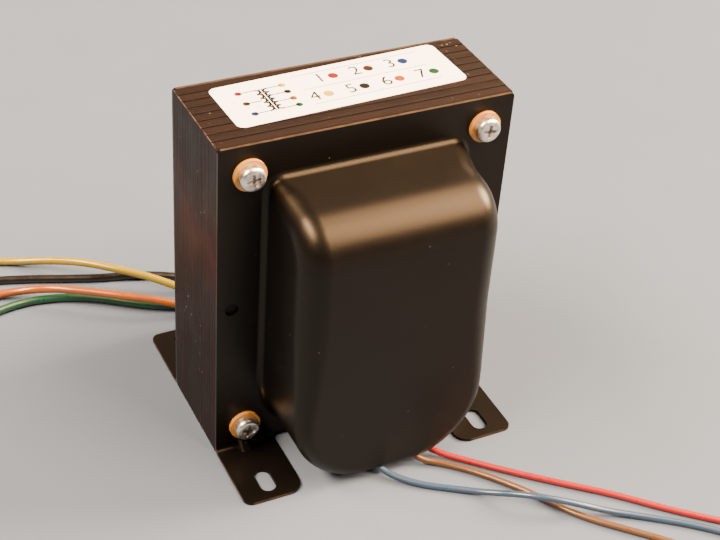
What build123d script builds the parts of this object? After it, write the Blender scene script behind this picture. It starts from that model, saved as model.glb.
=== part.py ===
from build123d import *
import os
from math import radians, sqrt, tan

os.makedirs("parts", exist_ok=True)

# Laminated chassis transformer, standing on the four feet of its two end bells.
# X is the width, Y the depth through the stack (front bell towards -Y), Z up.
# The origin is the centre of the plane under the feet. All sizes in millimetres.

# Lamination stack: E and I plates, laid alternately in packs
core_width = 95.25
core_height = 114.3
leg_width = 19.05
tongue_width = 38.1
stack_depth = 34.9
pack_count = 6
core_lift = 0.4

# Coil on the tongue, built up outwards from the tube until it fills the windows
tube_clearance = 0.3
tube_wall = 1.2
paper_build = 0.6
wrap_build = 1.0
coil_side_clearance = 2.55
coil_end_clearance = 0.8
winding_margin = 3.0
inner_primary_share = 0.328125
secondary_share = 0.390625
outer_primary_share = 0.28125

# End bells, drawn from one sheet
sheet = 1.0
flange_corner = 1.2
vent_hole = 4.4
vent_inset = 4.76
dome_depth = 29.2
dome_cover = 3.625
dome_top_drop = 12.6
dome_top_slope = 7.5
dome_draft = 0.25
dome_low_flat = 11.2
dome_nose = 10.5
dome_edge = 5.0
dome_root = 2.2
dome_floor = 0.6
rim_height = 4.5

# Feet folded out of each bell's lower edge
foot_width = 19.8
foot_length = 25.8
foot_bend = 1.5
foot_outer_corner = 3.0
foot_inner_corner = 4.6
slot_width = 5.2
slot_length = 9.6
slot_reach = 17.9
dart_clearance = 0.125
dart_width = 4.6
dart_round_share = 0.3
dart_sink = 0.5

# Clamping screws, washers and nuts
screw_diameter = 4.1
hole_clearance = 0.7
screw_tail = 1.8
screw_bevel = 0.4
head_diameter = 8.0
head_height = 2.9
head_crown = 1.3
recess_span = 4.4
recess_slot = 1.15
recess_depth = 1.9
recess_taper = 12.0
washer_diameter = 10.2
washer_clearance = 0.2
washer_thickness = 1.2
shoulder_wall = 0.35
shoulder_clearance = 0.1
lock_diameter = 7.4
lock_thickness = 1.0
lock_gap = 0.9
nut_sides = 6
nut_flats = 8.73
nut_thickness = 3.3
nut_bevel = 0.5
recess_turns = [18, -12, 34, 5]
nut_turns = [10, 42, -15, 27]

# Rating label stuck on top of the stack, a little askew
label_length = 76.2
label_width = 23.4
label_thickness = 0.12
label_corner = 2.4
label_shift = 3.7
label_turn = 2.3

# Leads and the tape pads that hold them on the coil
front_lead_diameter = 2.1
rear_lead_diameter = 2.9
front_wire_diameter = 0.9
rear_wire_diameter = 1.3
bared_length = 8.0
pad_width = 36.0
pad_height = 7.0
front_pad_thickness = 3.2
rear_pad_thickness = 4.2
pad_round = 0.8
pad_lift = 9.0
bend_share = 0.45

overrun = 1.0
half_turn = 180.0
quarter_turn = 90.0

# Places worked out from the sizes above
mid_height = core_lift + core_height / 2
top_height = core_lift + core_height
half_stack = stack_depth / 2
flange_front = half_stack + sheet
window_length = core_width - 2 * leg_width
window_height = (core_height - tongue_width) / 2 - leg_width
window_offset = (tongue_width + window_height) / 2
bolt_inset = leg_width / 2
bolt_x = core_width / 2 - bolt_inset
bolt_z = core_height / 2 - bolt_inset
bolt_places = [(sx * bolt_x, mid_height + sz * bolt_z) for sx in (-1, 1) for sz in (-1, 1)]
foot_x = (core_width - foot_width) / 2
bend_height = sheet + foot_bend

lamination_hole = screw_diameter + hole_clearance
washer_bore = screw_diameter + washer_clearance
bell_hole = washer_bore + 2 * (shoulder_wall + shoulder_clearance)

dome_half_width = window_length / 2 + dome_cover
dome_low_corner = dome_half_width - dome_low_flat / 2
low_centre = dome_floor + dome_low_corner
mouth_reach = sqrt(dome_low_corner**2 - (low_centre - rim_height) ** 2)
mouth_half = dome_half_width - dome_low_corner + mouth_reach
blank_drop = dome_root + overrun
blank_bottom = dome_floor - blank_drop
blank_height = top_height - blank_bottom
bell_reach = flange_front + dome_depth + overrun
dart_reach = core_lift + bolt_inset - washer_diameter / 2 - sheet - dart_clearance
dent_reach = dart_reach + (2 - sqrt(2)) * sheet


def save(solid, name):
    """Label one finished piece and write it as a STEP file."""
    solid.label = name
    export_step(solid, "parts/" + name + ".step")


# The stack: each pack has an E with its back to one side and an I across its open ends
pack_depth = stack_depth / pack_count


def e_pack(plane, side):
    """E plates with their back towards the given side."""
    with BuildPart() as pack:
        with BuildSketch(plane):
            with Locations((side * leg_width / 2, mid_height)):
                Rectangle(core_width - leg_width, core_height)
            with Locations((0, mid_height - window_offset), (0, mid_height + window_offset)):
                Rectangle(window_length, window_height, mode=Mode.SUBTRACT)
            with Locations([(side * bolt_x, mid_height + sz * bolt_z) for sz in (-1, 1)]):
                Circle(lamination_hole / 2, mode=Mode.SUBTRACT)
        extrude(amount=pack_depth)
    return pack.part


def i_pack(plane, side):
    """I plates standing at the given side."""
    with BuildPart() as pack:
        with BuildSketch(plane):
            with Locations((side * (core_width - leg_width) / 2, mid_height)):
                Rectangle(leg_width, core_height)
            with Locations([(side * bolt_x, mid_height + sz * bolt_z) for sz in (-1, 1)]):
                Circle(lamination_hole / 2, mode=Mode.SUBTRACT)
        extrude(amount=pack_depth)
    return pack.part


for k in range(pack_count):
    pack_plane = Plane.XZ.offset(half_stack - (k + 1) * pack_depth)
    back_side = 1 if k % 2 else -1
    save(e_pack(pack_plane, back_side), "e_laminations_" + str(k + 1))
    save(i_pack(pack_plane, -back_side), "i_laminations_" + str(k + 1))


# The coil: rings of growing size round the tongue, along X
tube_length = window_length - 2 * coil_end_clearance
winding_length = tube_length - 2 * winding_margin
winding_room = window_height - coil_side_clearance - tube_clearance - tube_wall - 2 * paper_build - wrap_build


def coil_ring(inner_growth, outer_growth, length):
    """A rectangular ring that stands off the tongue by its two growths, with round corners."""
    with BuildPart() as ring:
        with BuildSketch(Plane.YZ.offset(-length / 2)):
            with Locations((0, mid_height)):
                RectangleRounded(stack_depth + 2 * outer_growth, tongue_width + 2 * outer_growth, outer_growth)
                RectangleRounded(
                    stack_depth + 2 * inner_growth,
                    tongue_width + 2 * inner_growth,
                    inner_growth,
                    mode=Mode.SUBTRACT,
                )
        extrude(amount=length)
    return ring.part


coil_layers = [
    ("coil_tube", tube_wall, tube_length),
    ("inner_primary_winding", inner_primary_share * winding_room, winding_length),
    ("inner_layer_paper", paper_build, tube_length),
    ("secondary_winding", secondary_share * winding_room, winding_length),
    ("outer_layer_paper", paper_build, tube_length),
    ("outer_primary_winding", outer_primary_share * winding_room, winding_length),
    ("coil_wrap", wrap_build, tube_length),
]
growth = tube_clearance
for layer_name, build, layer_length in coil_layers:
    save(coil_ring(growth, growth + build, layer_length), layer_name)
    growth += build
coil_face = half_stack + growth
pad_foot = mid_height - tongue_width / 2 - growth + pad_lift


# Tape pads: the leads leave the coil under these, from their lower edges
def tape_pad(thickness, towards):
    """A pad of folded cloth tape on the coil's front (-1) or rear (+1) face."""
    with BuildPart() as pad:
        with BuildSketch(Plane.XY.offset(pad_foot)):
            with Locations((0, towards * (coil_face + thickness / 2))):
                Rectangle(pad_width, thickness)
        extrude(amount=pad_height)
        outer_edges = pad.edges().filter_by(Axis.X).sort_by(Axis.Y)
        fillet((outer_edges[:2] if towards < 0 else outer_edges[-2:]).sort_by(Axis.Z)[-1:], pad_round)
    return pad.part


save(tape_pad(front_pad_thickness, -1), "front_lead_pad")
save(tape_pad(rear_pad_thickness, 1), "rear_lead_pad")


# The end bell: a drawn dome with a sloping top and big lower corners, open at the bottom
def dome_outline(plane, depth, inset):
    """The dome's sides and round lower corners at a depth, open above its top."""
    draw_in = inset + depth * tan(radians(dome_draft))
    half = dome_half_width - draw_in
    low = dome_floor + draw_in
    low_r = dome_low_corner - draw_in
    with BuildSketch(plane) as outline:
        with BuildLine():
            Line((-half + low_r, low), (half - low_r, low))
            CenterArc((half - low_r, low + low_r), low_r, -quarter_turn, quarter_turn)
            Line((half, low + low_r), (half, top_height))
            Line((half, top_height), (-half, top_height))
            Line((-half, top_height), (-half, low + low_r))
            CenterArc((-half + low_r, low + low_r), low_r, half_turn, quarter_turn)
        make_face()
    return outline.sketch


def dome_solid(inset, start):
    """The dome as a full body, from a start depth behind the flange's face to its front."""
    front = dome_depth - inset
    top = top_height - dome_top_drop - inset
    fall = tan(radians(dome_top_slope))
    with BuildPart() as dome:
        add(dome_outline(Plane.XZ.offset(flange_front + start), start, inset))
        add(dome_outline(Plane.XZ.offset(flange_front + front), front, inset))
        loft(ruled=True)
        with BuildPart(mode=Mode.INTERSECT):
            with BuildSketch(Plane.YZ.offset(-core_width / 2)):
                Polygon(
                    (-flange_front - start, blank_bottom),
                    (-flange_front - start, top - start * fall),
                    (-flange_front - front, top - front * fall),
                    (-flange_front - front, blank_bottom),
                    align=None,
                )
            extrude(amount=core_width)
        nose_face = dome.faces().sort_by(Axis.Y)[0]
        fillet(nose_face.edges().sort_by(Axis.Z)[-1], dome_nose - inset)
        nose_face = dome.faces().sort_by(Axis.Y)[0]
        side_edges = nose_face.edges().filter_by(lambda e: abs(e.center().X) > dome_half_width / 2)
        fillet(side_edges.sort_by(Axis.Z)[-1:], dome_edge - inset)
    return dome.part


def on_dome_outline(edge):
    """True for the edges where the dome meets the flange."""
    place = edge.center()
    inside_sides = abs(place.X) < dome_half_width + dome_root
    inside_top = place.Z < top_height - dome_top_drop + dome_root
    return inside_sides and inside_top and place.Z > blank_bottom + overrun / 2


def dart(x, front, floor, reach, width):
    """A wedge across the bend, with its two long edges rounded."""
    with BuildPart() as wedge:
        with BuildSketch(Plane.YZ.offset(x - width / 2)):
            with BuildLine():
                Polyline(
                    (-front + dart_sink, floor - dart_sink),
                    (-front + dart_sink, floor + reach + dart_sink),
                    (-front - reach - dart_sink, floor - dart_sink),
                    close=True,
                )
            make_face()
        extrude(amount=width)
        fillet(wedge.edges().filter_by(Axis((0, 0, 0), (0, 1, 1))), dart_round_share * width)
    return wedge.part


with BuildPart() as front_end_bell:
    # Flange and dome as one blank, rounded where they meet and then hollowed
    with BuildSketch(Plane.XZ.offset(half_stack)):
        with Locations((0, blank_bottom + blank_height / 2)):
            Rectangle(core_width, blank_height)
    extrude(amount=sheet)
    add(dome_solid(0, 0))
    root_edges = front_end_bell.edges().filter_by_position(Axis.Y, -flange_front, -flange_front)
    fillet(root_edges.filter_by(on_dome_outline), dome_root)
    add(dome_solid(sheet, -sheet - overrun), mode=Mode.SUBTRACT)
    inner_edges = front_end_bell.edges().filter_by_position(Axis.Y, -half_stack, -half_stack)
    fillet(inner_edges.filter_by(on_dome_outline), dome_root + sheet)
    # Lower edges trimmed: the flange to the bends, the dome to its rim
    with BuildSketch(Plane.XY.offset(blank_bottom - overrun)):
        with Locations((0, -half_stack)):
            Rectangle(core_width + 2 * overrun, 2 * bell_reach)
    extrude(amount=bend_height - blank_bottom + overrun, mode=Mode.SUBTRACT)
    with BuildSketch(Plane.XY.offset(bend_height - overrun)):
        with Locations((0, -flange_front - bell_reach / 2)):
            Rectangle(core_width + 2 * overrun, bell_reach)
        with Locations((0, -flange_front)):
            Rectangle(2 * mouth_half, bell_reach)
    extrude(amount=rim_height - bend_height + overrun, mode=Mode.SUBTRACT)
    top_corners = front_end_bell.edges().filter_by(Axis.Y).sort_by(Axis.Z)[-2:]
    fillet(top_corners, flange_corner)
    # Screw holes and the small vent holes at mid height
    with BuildSketch(Plane.XZ.offset(half_stack)):
        with Locations(bolt_places):
            Circle(bell_hole / 2)
        with Locations([(side * (core_width / 2 - vent_inset), mid_height) for side in (-1, 1)]):
            Circle(vent_hole / 2)
    extrude(amount=sheet, mode=Mode.SUBTRACT)
    # Feet, folded forwards out of the flange
    for side in (-1, 1):
        with BuildSketch(Plane.YZ.offset(side * foot_x - foot_width / 2)):
            with BuildLine():
                Line((-half_stack, bend_height), (-flange_front, bend_height))
                bend_centre = (-flange_front - foot_bend, bend_height)
                inner_bend = CenterArc(bend_centre, foot_bend, 0, -quarter_turn)
                Line(inner_bend @ 1, (-flange_front - foot_length, sheet))
                Line((-flange_front - foot_length, sheet), (-flange_front - foot_length, 0))
                outer_bend = CenterArc(bend_centre, foot_bend + sheet, -quarter_turn, quarter_turn)
                Line((-flange_front - foot_length, 0), outer_bend @ 0)
            make_face()
        extrude(amount=foot_width)
    toe_edges = front_end_bell.edges().filter_by(Axis.Z).filter_by(
        lambda e: e.center().Y < -flange_front - foot_length + overrun and e.center().Z < sheet
    )
    fillet(toe_edges.filter_by(lambda e: abs(e.center().X) > foot_x), foot_outer_corner)
    toe_edges = front_end_bell.edges().filter_by(Axis.Z).filter_by(
        lambda e: e.center().Y < -flange_front - foot_length + overrun and e.center().Z < sheet
    )
    fillet(toe_edges.filter_by(lambda e: abs(e.center().X) < foot_x), foot_inner_corner)
    with BuildSketch(Plane.XY):
        with Locations([(side * bolt_x, -flange_front - slot_reach) for side in (-1, 1)]):
            SlotOverall(slot_length, slot_width, rotation=quarter_turn)
    extrude(amount=sheet, mode=Mode.SUBTRACT)
    # Stiffening darts pressed into the bends: a rib in front and its dent behind
    for side in (-1, 1):
        add(dart(side * bolt_x, flange_front, sheet, dart_reach, dart_width))
        add(dart(side * bolt_x, half_stack, 0, dent_reach, dart_width - 2 * sheet), mode=Mode.SUBTRACT)

save(front_end_bell.part, "front_end_bell")
save(Rot(0, 0, half_turn) * front_end_bell.part, "rear_end_bell")


# Four screws run through the stack, heads in front, nuts behind
head_seat = flange_front + washer_thickness
lock_seat = flange_front + washer_thickness
nut_seat = lock_seat + lock_thickness
screw_end = nut_seat + nut_thickness + screw_tail


def at_bolts(solid, turns):
    """The solid copied to the four screw places, each turned about its own axis."""
    copies = []
    for (x, z), turn in zip(bolt_places, turns):
        copies.append(Pos(x, 0, z) * Rot(0, turn, 0) * solid)
    return Compound(children=copies)


with BuildPart() as clamp_screw:
    with BuildSketch(Plane.XZ.offset(-screw_end)):
        Circle(screw_diameter / 2)
    extrude(amount=screw_end + head_seat)
    chamfer(clamp_screw.edges().sort_by(Axis.Y)[-1], screw_bevel)
    with BuildSketch(Plane.XZ.offset(head_seat)):
        Circle(head_diameter / 2)
    extrude(amount=head_height)
    fillet(clamp_screw.edges().sort_by(Axis.Y)[0], head_crown)
    with BuildSketch(Plane.XZ.offset(head_seat + head_height)):
        Rectangle(recess_span, recess_slot)
        Rectangle(recess_slot, recess_span)
    extrude(amount=-recess_depth, taper=recess_taper, mode=Mode.SUBTRACT)

with BuildPart() as fibre_washer:
    with BuildSketch(Plane.XZ.offset(flange_front)):
        Circle(washer_diameter / 2)
    extrude(amount=washer_thickness)
    with BuildSketch(Plane.XZ.offset(flange_front)):
        Circle(bell_hole / 2 - shoulder_clearance)
    extrude(amount=-sheet)
    with BuildSketch(Plane.XZ.offset(half_stack)):
        Circle(washer_bore / 2)
    extrude(amount=sheet + washer_thickness, mode=Mode.SUBTRACT)

with BuildPart() as lock_washer:
    with BuildSketch(Plane.XZ.offset(-nut_seat)):
        Circle(lock_diameter / 2)
        Circle(washer_bore / 2, mode=Mode.SUBTRACT)
        with Locations((lock_diameter / 4 + washer_bore / 4, 0)):
            Rectangle(lock_diameter / 2, lock_gap, mode=Mode.SUBTRACT)
    extrude(amount=lock_thickness)

with BuildPart() as hex_nut:
    with BuildSketch(Plane.XZ.offset(-nut_seat - nut_thickness)):
        RegularPolygon(nut_flats / 2, nut_sides, major_radius=False)
    extrude(amount=nut_thickness)
    with BuildPart(mode=Mode.INTERSECT):
        with BuildSketch(Plane.XZ.offset(-nut_seat - nut_thickness)):
            Circle(nut_flats / sqrt(3))
        extrude(amount=nut_thickness)
        chamfer(edges(), nut_bevel)
    with BuildSketch(Plane.XZ.offset(-nut_seat - nut_thickness)):
        Circle(screw_diameter / 2)
    extrude(amount=nut_thickness, mode=Mode.SUBTRACT)

save(at_bolts(clamp_screw.part, recess_turns), "clamp_screws")
save(at_bolts(fibre_washer.part, recess_turns), "front_fibre_washers")
save(at_bolts(Rot(0, 0, half_turn) * fibre_washer.part, recess_turns), "rear_fibre_washers")
save(at_bolts(lock_washer.part, nut_turns), "lock_washers")
save(at_bolts(hex_nut.part, nut_turns), "hex_nuts")


# The label, with round corners
with BuildPart() as rating_label:
    with BuildSketch(Plane.XY.offset(top_height)):
        with Locations(Location((0, label_shift), label_turn)):
            RectangleRounded(label_length, label_width, label_corner)
    extrude(amount=label_thickness)

save(rating_label.part, "rating_label")


# Leads: smooth routes from the pads down to the ground and away, with bared ends
def lead_radii(points):
    """A bend radius for each inner corner that leaves a short straight between bends."""
    runs = [Vector(*b) - Vector(*a) for a, b in zip(points, points[1:])]
    radii = []
    for before, after in zip(runs, runs[1:]):
        half_angle = radians(before.get_angle(after)) / 2
        radii.append(bend_share * min(before.length, after.length) / tan(half_angle))
    return radii


def save_lead(name, diameter, wire_diameter, points):
    """Write the insulated lead along its points, and its bared end as a piece of its own."""
    radii = lead_radii(points)
    with BuildPart() as lead:
        with BuildLine() as route:
            FilletPolyline(*points, radius=radii)
        with BuildSketch(Plane(origin=points[0], z_dir=route.line % 0)):
            Circle(diameter / 2)
        sweep()
    save(lead.part, name + "_lead")
    with BuildPart() as tip:
        with BuildSketch(Plane(origin=points[-1], z_dir=route.line % 1)):
            Circle(wire_diameter / 2)
        extrude(amount=bared_length)
    save(tip.part, name + "_lead_tip")
    length = sum(edge.length for edge in route.edges())
    print(name, "length", round(length, 2), "radii", [round(r, 2) for r in radii])


save_lead(
    "red",
    front_lead_diameter,
    front_wire_diameter,
    [
        (11.1, -35.9, 31.0), (11.1, -35.9, 24.5), (11.3, -36.5, 17.0), (11.8, -38.1, 9.8),
        (13.7, -41.5, 3.6), (18.2, -46.3, 1.6), (26.2, -53.2, 1.1), (35.4, -61.8, 1.1),
        (50.0, -74.3, 1.1), (61.4, -83.4, 1.1), (72.5, -94.3, 1.1), (83.4, -103.9, 1.1),
        (95.8, -113.6, 1.1), (105.6, -124.6, 1.1), (109.8, -138.2, 1.1), (107.0, -152.2, 1.1),
        (98.4, -163.2, 1.1), (86.2, -169.4, 1.1),
    ],
)
save_lead(
    "brown",
    front_lead_diameter,
    front_wire_diameter,
    [
        (4.1, -35.9, 31.0), (4.1, -35.9, 24.5), (4.5, -36.8, 17.2), (5.6, -39.4, 10.6),
        (7.6, -43.0, 5.0), (11.4, -47.4, 1.9), (17.0, -50.4, 1.1), (24.0, -56.5, 1.1),
        (30.5, -63.9, 1.1), (36.1, -71.3, 1.1), (40.7, -78.4, 1.1), (45.1, -85.6, 1.1),
        (51.1, -92.5, 1.1), (58.4, -99.4, 1.1), (67.2, -108.0, 1.1), (75.4, -117.8, 1.1),
        (81.6, -129.0, 1.1), (81.4, -141.6, 1.1), (73.8, -151.2, 1.1), (61.8, -155.2, 1.1),
        (49.4, -152.6, 1.1), (38.8, -145.6, 1.1),
    ],
)
save_lead(
    "blue",
    front_lead_diameter,
    front_wire_diameter,
    [
        (-6.1, -35.9, 31.0), (-6.1, -35.9, 24.5), (-6.3, -36.6, 17.2), (-5.8, -39.1, 10.4),
        (-4.7, -42.9, 4.8), (-1.8, -48.6, 1.9), (5.7, -56.1, 1.1), (15.1, -62.1, 1.1),
        (25.1, -68.7, 1.6), (32.4, -77.5, 6.2), (42.7, -84.7, 6.2), (55.1, -89.6, 1.7),
        (66.9, -96.9, 1.1), (78.0, -104.9, 1.1), (87.4, -113.4, 1.1), (93.6, -124.4, 1.1),
        (95.0, -137.0, 1.1), (90.4, -148.8, 1.1), (81.0, -157.4, 1.1), (69.0, -162.4, 1.1),
    ],
)
save_lead(
    "yellow",
    rear_lead_diameter,
    rear_wire_diameter,
    [
        (1.5, 36.5, 31.0), (1.5, 36.5, 24.0), (1.3, 37.3, 16.2), (0.4, 39.5, 9.0),
        (-2.2, 43.2, 3.8), (-7.4, 49.0, 1.9), (-18.4, 57.4, 1.7), (-28.0, 63.6, 2.4),
        (-39.0, 71.2, 5.8), (-48.9, 77.6, 7.4), (-59.0, 85.8, 7.4), (-69.1, 95.5, 4.0),
        (-79.3, 102.3, 1.5), (-95.5, 108.8, 1.5), (-111.0, 110.6, 1.5), (-126.4, 106.2, 1.5),
        (-138.6, 95.8, 1.5), (-145.0, 81.6, 1.5),
    ],
)
save_lead(
    "black",
    rear_lead_diameter,
    rear_wire_diameter,
    [
        (8.0, 36.5, 31.0), (8.0, 36.5, 24.0), (7.8, 37.3, 16.2), (6.9, 39.5, 9.0),
        (4.6, 43.2, 3.8), (-0.2, 49.4, 1.8), (-9.6, 59.2, 1.5), (-19.2, 67.4, 1.5),
        (-30.4, 74.4, 1.5), (-41.7, 79.0, 1.5), (-54.5, 82.0, 1.5), (-66.7, 86.3, 1.5),
        (-78.8, 90.8, 1.5), (-92.0, 94.6, 1.5), (-106.5, 96.0, 1.5), (-120.6, 91.4, 1.5),
        (-131.4, 81.2, 1.5), (-136.6, 67.4, 1.5), (-137.4, 53.0, 1.5),
    ],
)
save_lead(
    "orange",
    rear_lead_diameter,
    rear_wire_diameter,
    [
        (-11.5, 36.5, 31.0), (-11.5, 36.5, 24.0), (-11.4, 36.9, 16.2), (-11.4, 37.9, 9.2),
        (-12.0, 39.2, 5.4), (-14.0, 41.4, 2.9), (-18.6, 44.8, 1.7), (-27.0, 49.6, 2.5),
        (-38.7, 54.8, 6.2), (-49.5, 60.1, 7.4), (-61.1, 67.6, 7.4), (-72.2, 74.3, 7.2),
        (-81.0, 82.5, 3.0), (-94.8, 85.8, 1.5), (-108.6, 83.4, 1.5), (-119.8, 75.0, 1.5),
        (-126.4, 62.6, 1.5), (-129.0, 48.6, 1.5), (-130.2, 34.4, 1.5), (-133.4, 20.4, 1.5),
    ],
)
save_lead(
    "green",
    rear_lead_diameter,
    rear_wire_diameter,
    [
        (-5.0, 36.5, 31.0), (-5.0, 36.5, 24.0), (-5.1, 37.3, 16.2), (-5.8, 39.6, 9.2),
        (-8.6, 43.0, 3.8), (-14.6, 47.9, 1.7), (-27.8, 54.2, 1.5), (-38.6, 58.0, 1.5),
        (-47.2, 62.9, 1.5), (-56.3, 69.4, 1.5), (-65.2, 74.0, 1.5), (-74.7, 76.8, 1.5),
        (-84.6, 77.8, 1.5), (-96.8, 75.2, 1.5), (-108.2, 69.4, 1.5), (-115.8, 59.0, 1.5),
        (-118.8, 46.2, 1.5), (-119.8, 32.8, 1.5), (-122.6, 19.8, 1.5), (-128.0, 7.6, 1.5),
    ],
)
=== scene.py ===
from math import atan2, cos, hypot, pi, radians, sin, tan

import bmesh
import bpy
from mathutils import Matrix, Vector


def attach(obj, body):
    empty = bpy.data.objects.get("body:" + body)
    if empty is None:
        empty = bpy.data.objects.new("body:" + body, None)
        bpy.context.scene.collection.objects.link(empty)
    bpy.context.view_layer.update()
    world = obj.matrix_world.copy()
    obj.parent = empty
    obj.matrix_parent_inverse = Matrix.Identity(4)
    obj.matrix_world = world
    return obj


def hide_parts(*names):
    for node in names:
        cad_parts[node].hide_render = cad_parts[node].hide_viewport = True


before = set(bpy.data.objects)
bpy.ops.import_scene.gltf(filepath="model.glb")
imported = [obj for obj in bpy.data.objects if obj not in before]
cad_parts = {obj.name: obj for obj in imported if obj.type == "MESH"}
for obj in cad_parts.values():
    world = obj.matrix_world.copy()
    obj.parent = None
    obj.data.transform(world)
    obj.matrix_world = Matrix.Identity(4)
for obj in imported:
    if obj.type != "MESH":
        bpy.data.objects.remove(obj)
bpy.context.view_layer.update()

# Camera
# It stands to the left of the front, a little above, and was solved from the
# straight edges of the core, the flange and the feet.

mm = 0.001


def put(name, data):
    """A new object in the scene, at the origin."""
    thing = bpy.data.objects.new(name, data)
    bpy.context.scene.collection.objects.link(thing)
    return thing


camera_place = Vector((-178.23, -348.01, 340.76)) * mm
camera_right = Vector((0.899226, -0.433142, 0.061488))
camera_down = Vector((-0.215810, -0.561439, -0.798882))
camera = put("camera", bpy.data.cameras.new("camera"))
camera.data.sensor_width = 36
camera.data.lens = 75.64
camera.data.clip_start = 0.02
camera_turn = Matrix((camera_right, -camera_down, camera_down.cross(camera_right))).transposed()
camera.matrix_world = Matrix.Translation(camera_place) @ camera_turn.to_4x4()
bpy.context.scene.camera = camera


# Floor and light
# A plain pale table top under warm soft boxes. The front and top ones draw the
# broad band on the bell's nose, the left and right ones pick out its corners.

class Value:
    """A node's socket that takes ordinary arithmetic."""

    def __init__(self, nodes, socket):
        self.nodes = nodes
        self.socket = socket

    def math(self, operation, *values):
        return self.nodes.node("ShaderNodeMath", {"operation": operation}, dict(enumerate(values)))

    def __add__(self, other):
        return self.math("ADD", self, other)

    def __sub__(self, other):
        return self.math("SUBTRACT", self, other)

    def __rsub__(self, other):
        return self.math("SUBTRACT", other, self)

    def __mul__(self, other):
        return self.math("MULTIPLY", self, other)

    def __truediv__(self, other):
        return self.math("DIVIDE", self, other)

    def __rtruediv__(self, other):
        return self.math("DIVIDE", other, self)

    def __mod__(self, other):
        return self.math("FLOORED_MODULO", self, other)

    def __rmod__(self, other):
        return self.math("FLOORED_MODULO", other, self)

    __radd__, __rmul__ = __add__, __mul__

    def __abs__(self):
        return self.math("ABSOLUTE", self)

    def sine(self):
        return self.math("SINE", self)

    def floor(self):
        return self.math("FLOOR", self)

    def below(self, other):
        return self.math("LESS_THAN", self, other)

    def larger(self, other):
        return self.math("MAXIMUM", self, other)

    def between(self, low, high, out_low=0.0, out_high=1.0):
        """The value's place from low to high, held at both ends."""
        return self.nodes.node(
            "ShaderNodeMapRange", {}, {"Value": self, 1: low, 2: high, 3: out_low, 4: out_high}
        )


class Nodes:
    """A node tree that is written as expressions."""

    def node(self, kind, settings, sockets, output=0):
        """One node: its settings first, then the values or links of its sockets."""
        made = self.tree.nodes.new(kind)
        for name, value in settings.items():
            setattr(made, name, value)
        for key, value in sockets.items():
            for one in value if isinstance(value, list) else [value]:
                if isinstance(one, Value):
                    self.tree.links.new(one.socket, made.inputs[key])
                else:
                    made.inputs[key].default_value = one
        return Value(self, made.outputs[output])

    def vector(self, x, y, z):
        return self.node("ShaderNodeCombineXYZ", {}, {0: x, 1: y, 2: z})


class Finish(Nodes):
    """A procedural material on an object's own coordinates."""

    def __init__(self, name, **constants):
        self.material = bpy.data.materials.new(name)
        self.material.use_nodes = True
        self.tree = self.material.node_tree
        self.shader = self.tree.nodes["Principled BSDF"]
        self.place = self.node("ShaderNodeTexCoord", {}, {}, "Object")
        self.set(**constants)

    def set(self, **values):
        """Set the shader's sockets, written with underscores for spaces."""
        sockets = {socket.name.lower().replace(" ", "_"): socket for socket in self.shader.inputs}
        for name, value in values.items():
            if isinstance(value, Value):
                self.tree.links.new(value.socket, sockets[name])
            else:
                sockets[name].default_value = value

    def axis(self, letter):
        return self.node("ShaderNodeSeparateXYZ", {}, {0: self.place}, letter)

    def stretched(self, stretch):
        return self.node("ShaderNodeMapping", {}, {"Vector": self.place, "Scale": stretch})

    def noise(self, size, detail=3.0, roughness=0.55, stretch=(1, 1, 1)):
        """Cloudy noise whose lumps are about size metres."""
        place = self.stretched(stretch)
        sockets = {"Vector": place, "Scale": 1 / size, "Detail": detail, "Roughness": roughness}
        return self.node("ShaderNodeTexNoise", {}, sockets)

    def specks(self, spacing, size):
        """Scattered round specks with soft rims: 1 inside, 0 outside, sizes in metres."""
        sockets = {"Vector": self.place, "Scale": 1 / spacing}
        from_middle = self.node("ShaderNodeTexVoronoi", {}, sockets, "Distance")
        return from_middle.between(size / spacing, 0.6 * size / spacing)

    def attribute(self, name, output="Fac"):
        return self.node("ShaderNodeAttribute", {"attribute_name": name}, {}, output)

    def blend(self, share, first, second):
        """A colour between two, by a share from 0 to 1."""
        start, end = [colour if isinstance(colour, Value) else (*colour, 1) for colour in (first, second)]
        return self.node("ShaderNodeMix", {"data_type": "RGBA"}, {0: share, 6: start, 7: end}, 2)

    def relief(self, height, depth):
        """Bump by a height of 0 to 1 that is depth metres deep."""
        sockets = {"Strength": 1.0, "Distance": depth, "Height": height}
        self.set(normal=self.node("ShaderNodeBump", {}, sockets))


table_top = Finish("table_top", roughness=0.85)
grey_dark, grey_light = (0.056, 0.084, 0.141), (0.062, 0.092, 0.152)
table_top.set(base_color=table_top.blend(table_top.noise(30 * mm), grey_dark, grey_light))
floor_reach = 7.0
floor_mesh = bpy.data.meshes.new("floor")
floor_corners = [(x * floor_reach, y * floor_reach, 0) for x, y in ((-1, -1), (1, -1), (1, 1), (-1, 1))]
floor_mesh.from_pydata(floor_corners, [], [(0, 1, 2, 3)])
floor_mesh.materials.append(table_top.material)
put("floor", floor_mesh)

world = bpy.data.worlds.new("studio")
world.use_nodes = True
backdrop = world.node_tree.nodes["Background"]
backdrop.inputs["Color"].default_value = (0.9, 0.93, 1.0, 1)
backdrop.inputs["Strength"].default_value = 0.2
bpy.context.scene.world = world

amber, straw = (1.0, 0.63, 0.35), (1.0, 0.68, 0.41)
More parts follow.
